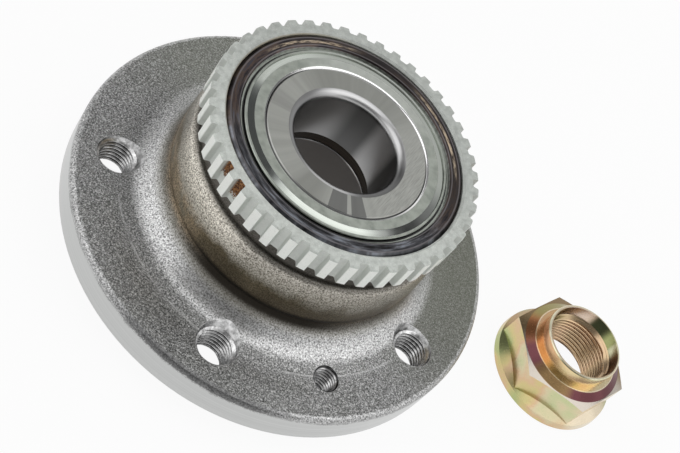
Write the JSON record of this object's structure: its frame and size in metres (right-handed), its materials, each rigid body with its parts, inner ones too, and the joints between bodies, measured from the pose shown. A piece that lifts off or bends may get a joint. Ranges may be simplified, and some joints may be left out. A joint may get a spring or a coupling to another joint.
{
  "type": "wheel hub bearing",
  "caption": "Flanged wheel hub with a sealed two-row ball bearing inside its barrel, a toothed tone ring for the speed sensor, and its loose flanged axle nut.",
  "frame": {"origin": "centre of the wheel mounting face, on the axle line", "axes": "+Z along the axle, from the wheel side to the inboard side with the tone ring; +X and +Y across the flange, the loose nut lying at +X +Y"},
  "size_m": [0.1852, 0.134, 0.0599],
  "materials": {
    "forged_hub": "shot blasted forging, machined rim, heat tint round the barrel",
    "zinc_ring": "dull zinc plate",
    "bearing_steel": "ground, polished lead-in",
    "clip_steel": "dark oiled spring steel",
    "cage_plastic": "moulded",
    "ball_steel": "polished",
    "seal_steel": "dull zinc plate",
    "seal_rubber": "moulded",
    "yellow_zinc": "iridescent yellow zinc"
  },
  "bodies": {
    "axle_side": {"inner_ring_inboard": "bearing_steel", "inner_ring_outboard": "bearing_steel", "inner_ring_clip": "clip_steel", "inboard_flinger": "seal_steel", "axle_nut": "yellow_zinc"},
    "hub": {"hub_flange": "forged_hub", "tone_ring": "zinc_ring", "inboard_seal_case": "seal_steel", "inboard_seal_lip": "seal_rubber", "outboard_seal_case": "seal_steel", "outboard_seal_lip": "seal_rubber"},
    "ball_row_inboard": {"cage_inboard": "cage_plastic", "ball_inboard_01": "ball_steel", "ball_inboard_02": "ball_steel", "ball_inboard_03": "ball_steel", "ball_inboard_04": "ball_steel", "ball_inboard_05": "ball_steel", "ball_inboard_06": "ball_steel", "ball_inboard_07": "ball_steel", "ball_inboard_08": "ball_steel", "ball_inboard_09": "ball_steel", "ball_inboard_10": "ball_steel", "ball_inboard_11": "ball_steel", "ball_inboard_12": "ball_steel", "ball_inboard_13": "ball_steel", "ball_inboard_14": "ball_steel"},
    "ball_row_outboard": {"cage_outboard": "cage_plastic", "ball_outboard_01": "ball_steel", "ball_outboard_02": "ball_steel", "ball_outboard_03": "ball_steel", "ball_outboard_04": "ball_steel", "ball_outboard_05": "ball_steel", "ball_outboard_06": "ball_steel", "ball_outboard_07": "ball_steel", "ball_outboard_08": "ball_steel", "ball_outboard_09": "ball_steel", "ball_outboard_10": "ball_steel", "ball_outboard_11": "ball_steel", "ball_outboard_12": "ball_steel", "ball_outboard_13": "ball_steel", "ball_outboard_14": "ball_steel"}
  },
  "joints": [
    {"name": "hub_spin", "type": "hinge", "parent": "axle_side", "child": "hub", "pos_m": [0, 0, 0.0301], "axis": [0, 0, 1], "continuous": true},
    {"name": "inboard_row_spin", "type": "hinge", "parent": "axle_side", "child": "ball_row_inboard", "pos_m": [0, 0, 0.0379], "axis": [0, 0, 1], "continuous": true},
    {"name": "outboard_row_spin", "type": "hinge", "parent": "axle_side", "child": "ball_row_outboard", "pos_m": [0, 0, 0.0223], "axis": [0, 0, 1], "continuous": true}
  ],
  "couplings": [
    {"joint": "inboard_row_spin", "follows": "hub_spin", "ratio": 0.5756},
    {"joint": "outboard_row_spin", "follows": "hub_spin", "ratio": 0.5756}
  ]
}
